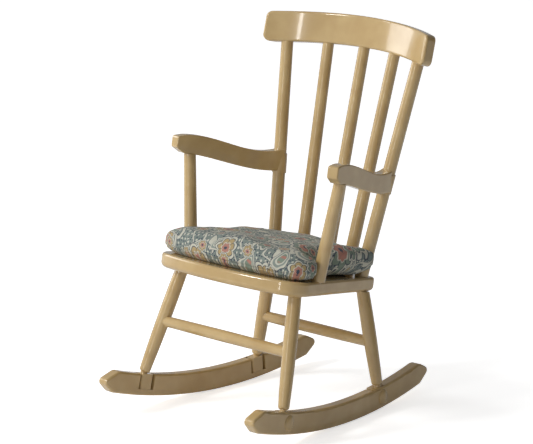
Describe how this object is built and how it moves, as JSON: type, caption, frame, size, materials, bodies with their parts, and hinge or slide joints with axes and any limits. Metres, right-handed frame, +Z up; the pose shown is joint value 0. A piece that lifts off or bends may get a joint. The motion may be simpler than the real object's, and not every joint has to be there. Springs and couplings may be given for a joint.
{
  "type": "toy rocking chair",
  "caption": "Doll-size rocking chair: gloss-painted metal frame with a curved crest rail, round back spindles and S-shaped arms on curved rockers, with a loose padded seat cushion.",
  "frame": {"origin": "on the floor, in the middle of the chair's overall width and depth, with the chair standing at the tilt where it balances", "axes": "+Z up, -Y the way a sitter faces, +X the sitter's left; the chair is mirror-symmetric about x = 0"},
  "size_m": [0.0808, 0.1082, 0.1408],
  "materials": {
    "enamel": "gloss",
    "cushion_cloth": "matte",
    "cushion_filling": "matte"
  },
  "bodies": {
    "chair": {"seat": "enamel", "crest_rail": "enamel", "middle_spindle": "enamel", "front_stretcher": "enamel", "back_stretcher": "enamel", "left_rocker": "enamel", "left_front_leg": "enamel", "left_back_leg": "enamel", "left_back_post": "enamel", "left_inner_spindle": "enamel", "left_arm": "enamel", "left_arm_post": "enamel", "right_rocker": "enamel", "right_front_leg": "enamel", "right_back_leg": "enamel", "right_back_post": "enamel", "right_inner_spindle": "enamel", "right_arm": "enamel", "right_arm_post": "enamel"},
    "cushion": {"cushion_cover": "cushion_cloth", "cushion_filling": "cushion_filling"}
  },
  "joints": [
    {"name": "cushion_lift", "type": "slide", "parent": "chair", "child": "cushion", "axis": [0, -0.5693, 0.8221], "range_m": [0, 0.11]}
  ]
}
